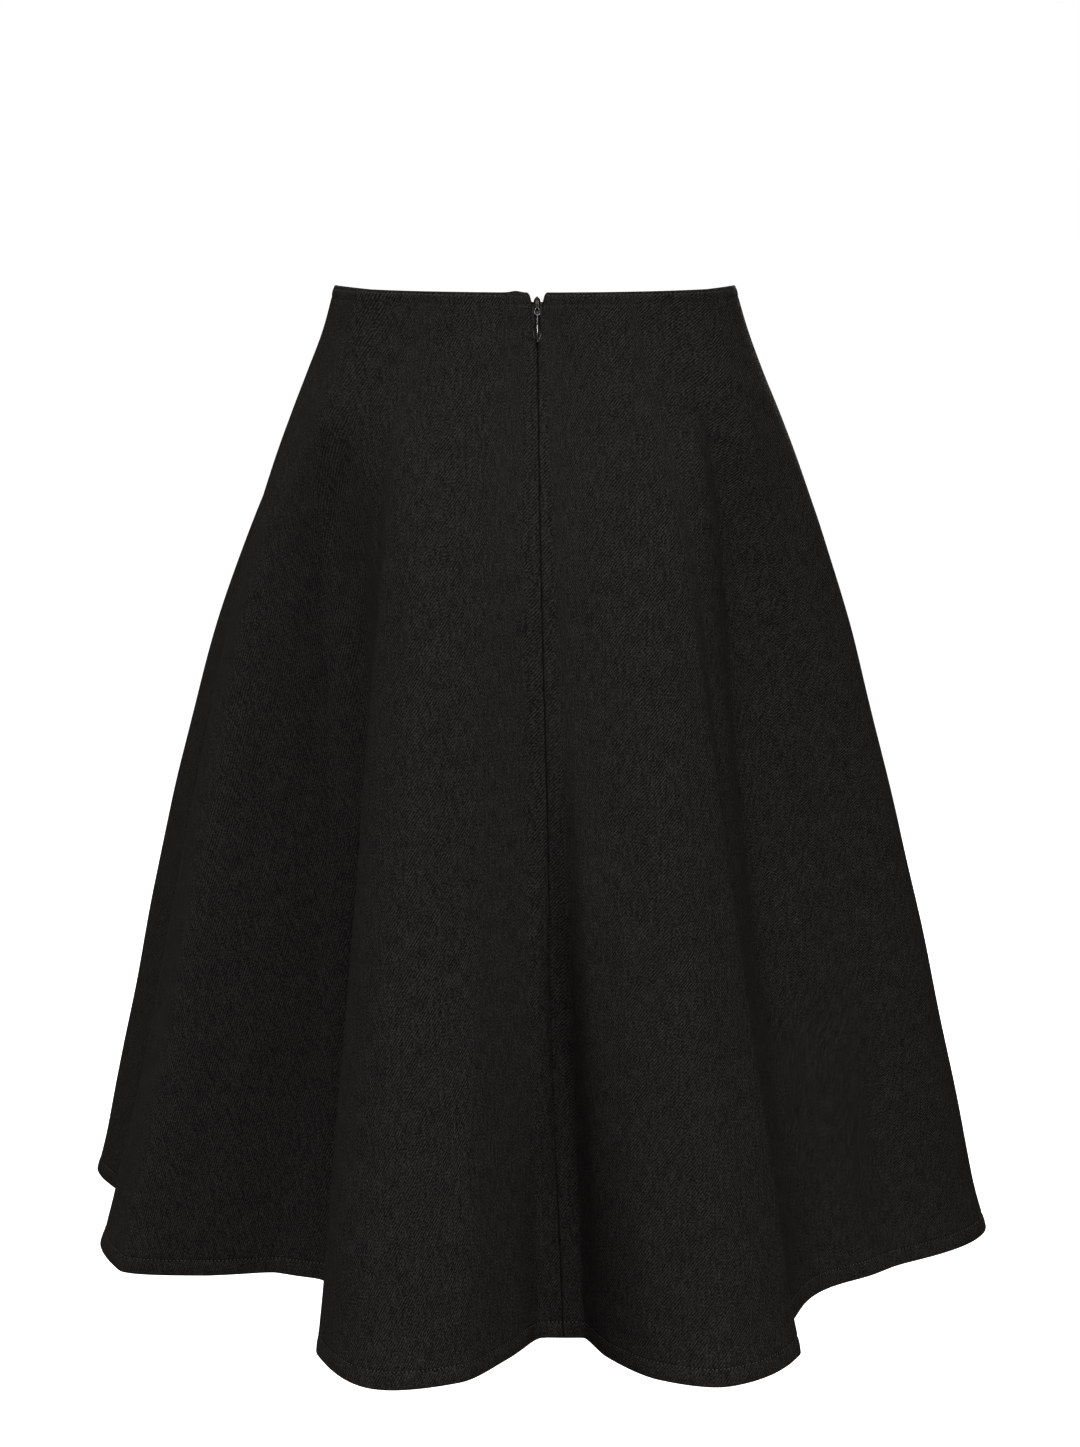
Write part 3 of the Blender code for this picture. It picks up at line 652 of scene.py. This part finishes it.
# The three panels.
for key, cut in panelCuts.items():
    outer, inner, flat = panelSurfaces(cut)
    panel = gridShell(key + "Panel", outer, inner, flat)
    panel.data.materials.append(twill)
    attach(panel, "skirt")
    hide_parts(cut["node"])
print("stage: panels cut and turned")

# Rows of stitches.
stitchMaking = {
    "waist": {
        "drop": 0.0022, "pitch": 0.0027, "length": 0.0013, "radius": 0.00024, "lift": 0.00002,
        "first": 0.5,          # of a pitch
    },
    "hem": {
        "drop": skirtForm["length"] - 0.0095, "pitch": 0.0024, "length": 0.0014, "radius": 0.00027,
        "lift": -0.00030, "first": 0.5,
    },
    # painted shade: dark beads sunk between the hem's stitches, standing for the shadow in the needle holes
    "hole": {
        "drop": skirtForm["length"] - 0.0095, "pitch": 0.0024, "length": 0.0010, "radius": 0.00034,
        "lift": -0.00042, "first": 1.0,
    },
    "samples": 2401,
    "aheadStep": 0.0005,
    "tilt": 6,                 # degrees either way, at random
    "beadsAtOnce": 40,
    "notchClear": 0.001,
}


def beadShape(matrices):
    # one small round-ended bead for each matrix, long along its X
    whole = bmesh.new()
    spare = bpy.data.meshes.new("spare")
    atOnce = stitchMaking["beadsAtOnce"]
    for k in range(0, len(matrices), atOnce):
        few = bmesh.new()
        for matrix in matrices[k:k + atOnce]:
            lying = matrix @ Matrix.Rotation(math.pi / 2, 4, "Y")
            bmesh.ops.create_uvsphere(few, u_segments=6, v_segments=4, radius=1, matrix=lying)
        few.to_mesh(spare)
        few.free()
        whole.from_mesh(spare)
    bpy.data.meshes.remove(spare)
    for face in whole.faces:
        face.smooth = True
    return whole


def stitchRow(name, making, start, end, material):
    fine = np.linspace(start, end, stitchMaking["samples"])
    drops = np.full_like(fine, making["drop"])
    points = clothPoints(fine, drops)
    normals = clothNormals(fine, drops)
    run = runAlong(points)
    step = stitchMaking["aheadStep"]
    tilts = stitchMaking["tilt"]
    count = int(run[-1] / making["pitch"])
    at = (np.arange(count) + making["first"]) * run[-1] / count

    def along(values, shift=0.0):
        return np.stack([np.interp(at + shift, run, values[:, i]) for i in range(3)], -1)

    places, outs = along(points), along(normals)
    aheads = along(points, step) - along(points, -step)
    matrices = []
    for place, out, ahead in zip(places, outs, aheads):
        out = Vector(out).normalized()
        ahead = Vector(ahead).normalized()
        up = out.cross(ahead).normalized()
        turn = Matrix((ahead, up, out)).transposed().to_4x4()
        tilt = Matrix.Rotation(math.radians(random.uniform(-tilts, tilts)), 4, "Z")
        size = Matrix.Diagonal((making["length"] / 2, making["radius"], making["radius"], 1))
        matrices.append(Matrix.Translation(Vector(place) + out * making["lift"]) @ turn @ tilt @ size)
    row = pieceFrom(beadShape(matrices), name)
    row.data.materials.append(material)
    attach(row, "skirt")


# the waist's row leaves out the notch and a little beside it
notchWide = panelMaking["notchHalf"][1] + stitchMaking["notchClear"]
notchAngle = math.degrees(notchWide / float(backDepth(0.0)))
stitchRow(
    "waistStitches", stitchMaking["waist"],
    seamAngles["back"] + notchAngle, seamAngles["around"] - notchAngle, thread,
)
stitchRow("hemStitches", stitchMaking["hem"], seamAngles["back"], seamAngles["around"], thread)
# a row of painted shade: dark beads for the shadow in the needle holes
stitchRow("hemShadeBeads", stitchMaking["hole"], seamAngles["back"], seamAngles["around"], holeShade)
print("stage: edges stitched")

# The zip.
zipMaking = {
    "seamAt": seamAngles["back"],
    "sliderDrop": 0.0094,      # middle of the slider, below the waist edge
    "top": 0.0080,
    "end": 0.300,
    "gap": 0.0009,             # between panel and tape
    "tapeInner": 0.0002,       # a tape's edges, out from the seam
    "tapeOuter": 0.0110,
    "tapeWall": 0.0007,
    "slotHalf": 0.0016,        # the tapes stand apart round the slider's neck
    "slotEnd": 0.0160,
    "slotFade": 0.004,
    "tapeRows": 110,
    "tapeColumns": 9,
    "searchTurn": 9,           # degrees either side of the seam that hold the tapes
    "searchSamples": 361,
    "degreeWide": 0.0029,      # of a turn of one degree, on the tape
    "coilPitch": 0.0014,
    "coilLength": 0.0024,
    "coilRadius": 0.00042,
    "coilApart": 0.0011,
    "coilLean": 0.12,          # radians
    "coilBehind": 0.0003,      # the tapes' inner face
    "coilClear": 0.001,        # of the slot and of the zip's end
    "foldClear": 0.002,        # below the waist turning, where the tapes lie closer
}

# down the slider, half width, low and high face, in metres
sliderMaking = {
    "body": [
        (-0.0072, 0.0003, -0.0009, -0.0001), (-0.0064, 0.0010, -0.0012, 0.0003),
        (-0.0052, 0.0019, -0.0015, 0.0006), (-0.0030, 0.0022, -0.0015, 0.0007),
        (0.0000, 0.0020, -0.0015, 0.0007),
        (0.0030, 0.0023, -0.0015, 0.0006), (0.0048, 0.0021, -0.0015, 0.0005),
        (0.0056, 0.0013, -0.0012, 0.0002),
    ],
    "neck": [(-0.0030, 0.0007, -0.0062, -0.0010), (0.0030, 0.0007, -0.0062, -0.0010)],
    "back": [
        (-0.0042, 0.0026, -0.0070, -0.0062), (-0.0034, 0.0036, -0.0072, -0.0059),
        (0.0046, 0.0036, -0.0072, -0.0059), (0.0056, 0.0026, -0.0070, -0.0062),
    ],
    "corner": 0.55,            # 1 is an ellipse across, nought a square
    "bailMiddle": -0.00015,
    "bailRadius": 0.00190,     # of the bar's middle line, down the slider
    "bailRise": 0.00265,
    "bailBar": 0.00042,
    "bailFace": 0.0005,
}

pullMaking = {
    "axisDown": 0.0004,
    "axisOut": 0.0018,
    "loopRadius": 0.00160,     # half the loop's width, to the bar's middle
    "loopBar": 0.00040,
    "loopStretch": 1.42,
    "leaf": [
        (0.0044, 0.0006, -0.0004, 0.0004), (0.0054, 0.0011, -0.0004, 0.0005),
        (0.0066, 0.0012, -0.0004, 0.0005), (0.0090, 0.0015, -0.0004, 0.0006),
        (0.0120, 0.0021, -0.0004, 0.0007), (0.0148, 0.0024, -0.0004, 0.0007),
        (0.0175, 0.0021, -0.0004, 0.0006), (0.0196, 0.0013, -0.0003, 0.0005),
        (0.0208, 0.0005, -0.0003, 0.0003), (0.0212, 0.0001, -0.0001, 0.0001),
    ],
    "corner": 0.85,
    "ridge": 1.5,              # how much higher the leaf's middle line stands
}

zipColours = {
    "blackNickel": (0.016, 0.015, 0.014),
    "polishedNickel": (0.075, 0.073, 0.071),
    "blackTape": (0.0100, 0.0095, 0.0090),
    "blackCoil": (0.014, 0.014, 0.014),
}


def seamFrame(drop):
    # across, down and out of the cloth at the seam, as the solids have it
    angle = zipMaking["seamAt"]
    turn, step = 0.2, 0.001
    place = Vector(clothPoints(angle, drop, False))
    aside = clothPoints(angle + turn, drop, False) - clothPoints(angle - turn, drop, False)
    low = Vector(clothPoints(angle, drop + step, False))
    high = Vector(clothPoints(angle, max(0.0, drop - step), False))
    out = (low - high).cross(Vector(aside)).normalized()
    down = (low - high).normalized()
    across = down.cross(out).normalized()
    down = out.cross(across)
    turned = Matrix((across, down, out)).transposed().to_4x4()
    return Matrix.Translation(place) @ turned


def addBar(shape, rows, corner, matrix, ridge=1.0, ridgeHalf=0.3, smooth=0, sides=24):
    # bar through rounded sections that stand across its length
    if smooth:
        downs = np.linspace(rows[0][0], rows[-1][0], smooth)
        places = [row[0] for row in rows]
        columns = [smoothTable(places, [row[k] for row in rows])(downs) for k in (1, 2, 3)]
        rows = list(zip(downs, *columns))
    rings = []
    for k, (down, half, low, high) in enumerate(rows):
        ends = k in (0, len(rows) - 1)
        ring = bmesh.ops.create_circle(shape, cap_ends=ends, segments=sides, radius=1)["verts"]
        edges = list({e for v in ring for e in v.link_edges})
        for v in ring:
            x = math.copysign(abs(v.co.x) ** corner, v.co.x)
            y = math.copysign(abs(v.co.y) ** corner, v.co.y)
            top = high * (1 + (ridge - 1) * max(0.0, 1 - abs(x) / ridgeHalf)) if y > 0 else high
            middle = (low + high) / 2
            reach = top - middle if y > 0 else middle - low
            v.co = matrix @ Vector((half * x, down, middle + reach * y))
        rings.append(edges)
    for before, after in zip(rings, rings[1:]):
        bmesh.ops.bridge_loops(shape, edges=before + after)


def addRing(shape, radius, bar, sweep, matrix, steps=40):
    # bar bent round Z at a radius, starting on X
    ring = bmesh.ops.create_circle(
        shape, cap_ends=False, segments=14, radius=bar,
        matrix=Matrix.Translation((radius, 0, 0)) @ Matrix.Rotation(math.pi / 2, 4, "X"),
    )["verts"]
    edges = list({e for v in ring for e in v.link_edges})
    spun = bmesh.ops.spin(
        shape, geom=ring + edges, cent=(0, 0, 0), axis=(0, 0, 1), angle=sweep, steps=steps,
        use_merge=sweep >= 2 * math.pi,
    )
    reached = {v for v in spun["geom_last"] if isinstance(v, bmesh.types.BMVert)} | set(ring)
    todo = list(reached)
    while todo:
        for edge in todo.pop().link_edges:
            for v in edge.verts:
                if v.is_valid and v not in reached:
                    reached.add(v)
                    todo.append(v)
    bmesh.ops.transform(shape, matrix=matrix, verts=[v for v in reached if v.is_valid])


def metalPiece(shape, name, node, body, materials):
    bmesh.ops.recalc_face_normals(shape, faces=shape.faces)
    for face in shape.faces:
        face.smooth = True
    piece = pieceFrom(shape, name)
    for material in materials:
        piece.data.materials.append(material)
    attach(piece, body)
    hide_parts(node)


blackNickel, _ = plainMaterial("blackNickel", zipColours["blackNickel"], 0.30, 1.0)
polishedNickel, _ = plainMaterial("polishedNickel", zipColours["polishedNickel"], 0.20, 1.0)

sliderFrame = seamFrame(zipMaking["sliderDrop"])
sliderShape = bmesh.new()
making = sliderMaking
addBar(sliderShape, making["body"], making["corner"], sliderFrame, smooth=24)
addBar(sliderShape, making["neck"], making["corner"], sliderFrame)
addBar(sliderShape, making["back"], making["corner"], sliderFrame, smooth=14)
bailTurn = Matrix(((0, 0, 1), (1, 0, 0), (0, making["bailRise"] / making["bailRadius"], 0))).to_4x4()
bailPlace = Matrix.Translation((0, making["bailMiddle"], making["bailFace"]))
bodyFaces = len(sliderShape.faces)
bailFrame = sliderFrame @ bailPlace @ bailTurn
addRing(sliderShape, making["bailRadius"], making["bailBar"], math.pi, bailFrame, 24)
sliderShape.faces.ensure_lookup_table()
for face in sliderShape.faces[bodyFaces:]:
    face.material_index = 1
metalPiece(sliderShape, "zipSlider", "zip_slider", "skirt", [blackNickel, polishedNickel])

pullShape = bmesh.new()
making = pullMaking
pullFrame = sliderFrame @ Matrix.Translation((0, making["axisDown"], making["axisOut"]))
loopLow = making["loopRadius"] * making["loopStretch"]
loopPlace = Matrix.Translation((0, loopLow, 0)) @ Matrix.Diagonal((1, making["loopStretch"], 1, 1))
addRing(pullShape, making["loopRadius"], making["loopBar"], 2 * math.pi, pullFrame @ loopPlace, 48)
addBar(pullShape, making["leaf"], making["corner"], pullFrame, ridge=making["ridge"], smooth=44)
metalPiece(pullShape, "pullTab", "pull_tab", "pull", [polishedNickel])

# tapes and coil, inside the back panels
tapeMaterial, _ = plainMaterial("blackTape", zipColours["blackTape"], 0.75)


def tapeSurfaces(side):
    making = zipMaking
    seamAt, turn = making["seamAt"], making["searchTurn"]
    drops = np.linspace(making["top"], making["end"], making["tapeRows"])
    fine = np.linspace(seamAt - turn, seamAt + turn, making["searchSamples"])
    slot = [making["slotEnd"], making["slotEnd"] + making["slotFade"]]
    nearEdge = np.interp(drops, slot, [making["slotHalf"], making["tapeInner"]])
    angles = []
    for drop, near in zip(drops, nearEdge):
        run = runAlong(clothPoints(fine, np.full_like(fine, drop), False))
        seam = np.interp(seamAt, fine, run)
        asides = side * np.linspace(near, making["tapeOuter"], making["tapeColumns"])
        angles.append(np.interp(seam + np.sort(asides), run, fine))
    angles = np.array(angles)
    dropGrid = np.repeat(drops[:, None], angles.shape[1], axis=1)
    points = clothPoints(angles, dropGrid, False)
    normals = clothNormals(angles, dropGrid)
    folded = dropGrid < skirtForm["waistTurn"] + making["foldClear"]
    wall = np.where(folded, skirtForm["turnedWall"], skirtForm["wall"])
    outer = points - normals * (wall + making["gap"])[..., None]
    inner = outer - normals * making["tapeWall"]
    flat = np.stack([angles * making["degreeWide"], -dropGrid], -1)
    return outer, inner, flat


for side, name in ((-1, "leftTape"), (1, "rightTape")):
    zipTape = gridShell(name, *tapeSurfaces(side))
    zipTape.data.materials.append(tapeMaterial)
    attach(zipTape, "skirt")
    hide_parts("zip_tape")

coilMaterial, _ = plainMaterial("blackCoil", zipColours["blackCoil"], 0.35)


def coilRow():
    making = zipMaking
    matrices = []
    count = int((making["end"] - making["slotEnd"] - 2 * making["coilClear"]) / making["coilPitch"])
    deep = skirtForm["wall"] + making["gap"] + making["tapeWall"] + making["coilBehind"]
    for k in range(count):
        place = seamFrame(making["slotEnd"] + making["coilClear"] + (k + 0.5) * making["coilPitch"])
        for side in (-1, 1):
            shift = Vector((side * making["coilApart"], side * making["coilPitch"] / 4, -deep))
            size = Matrix.Diagonal((making["coilLength"] / 2, making["coilRadius"], making["coilRadius"], 1))
            lean = Matrix.Rotation(side * making["coilLean"], 4, "Z")
            matrices.append(place @ Matrix.Translation(shift) @ lean @ size)
    row = pieceFrom(beadShape(matrices), "zipCoil")
    row.data.materials.append(coilMaterial)
    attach(row, "skirt")


coilRow()
print("stage: zip dressed")

# Stage, light and camera.
studio = {
    "floorHeight": -1.05,
    "floorHalf": 30,
    "airLight": 0.04,
    "lightSize": 1.4,
    "sparkSize": 0.5,          # a small lamp that the zip's metal mirrors
    # place, and power in watts
    "lights": {
        "frontLow": ((0.0, -3.0, -0.9), 42.5),
        "right": ((2.4, -2.0, 0.3), 22.6),
        "sideLeft": ((-3.0, -0.4, 0.2), 24.6),
        "overhead": ((0.0, -0.5, 3.0), 63.0),
        "frontSide": ((0.5, 3.0, 0.2), 45.0),
        "spark": ((0.0, -2.8, 1.75), 26.0),
    },
    "middle": (0.0, 0.0, -0.31),
}
floorShape = bmesh.new()
bmesh.ops.create_grid(floorShape, x_segments=1, y_segments=1, size=studio["floorHalf"])
bmesh.ops.translate(floorShape, verts=floorShape.verts, vec=(0, 0, studio["floorHeight"]))
floor = pieceFrom(floorShape, "studioFloor")
paper, paperShader = plainMaterial("palePaper", (0.93, 0.93, 0.93), 0.9)
paperShader.inputs["Emission Color"].default_value = (1, 1, 1, 1)
paperShader.inputs["Emission Strength"].default_value = 1.0
floor.data.materials.append(paper)
floor.visible_diffuse = False
floor.visible_glossy = False

# the air is white to the camera, and gives only a little light
world = bpy.data.worlds.new("studioAir")
bpy.context.scene.world = world
world.use_nodes = True
air = world.node_tree
airLight = air.nodes["Background"]
airLight.inputs[0].default_value = (1, 1, 1, 1)
airLight.inputs[1].default_value = studio["airLight"]
seen = air.nodes.new("ShaderNodeBackground")
seen.inputs[0].default_value = (1, 1, 1, 1)
seen.inputs[1].default_value = 1.0
path = air.nodes.new("ShaderNodeLightPath")
choose = air.nodes.new("ShaderNodeMixShader")
air.links.new(path.outputs["Is Camera Ray"], choose.inputs[0])
air.links.new(airLight.outputs[0], choose.inputs[1])
air.links.new(seen.outputs[0], choose.inputs[2])
air.links.new(choose.outputs[0], air.nodes["World Output"].inputs[0])

for name, (place, power) in studio["lights"].items():
    lamp = bpy.data.lights.new(name + "Light", "AREA")
    lamp.size = studio["lightSize"] if name != "spark" else studio["sparkSize"]
    lamp.energy = power
    light = bpy.data.objects.new(name + "Light", lamp)
    light.location = place
    towards = Vector(studio["middle"]) - light.location
    light.rotation_euler = towards.to_track_quat("-Z", "Y").to_euler()
    light.visible_diffuse = name != "spark"
    bpy.context.scene.collection.objects.link(light)

cameraView = {
    "place": (0, -2.0, 0.0992),
    "pitchDown": 0.187691,     # radians
    "focalPixels": 3156.34,
    "tallPixels": 1447,        # of the photograph
    "sensor": 36,              # millimetres
}
lens = bpy.data.cameras.new("photoCamera")
lens.sensor_width = cameraView["sensor"]
lens.lens = cameraView["focalPixels"] / cameraView["tallPixels"] * lens.sensor_width
camera = bpy.data.objects.new("photoCamera", lens)
camera.location = cameraView["place"]
camera.rotation_euler = (math.pi / 2 - cameraView["pitchDown"], 0, 0)
bpy.context.scene.collection.objects.link(camera)
bpy.context.scene.camera = camera
bpy.context.scene.view_settings.view_transform = "Standard"
print("stage: studio set")
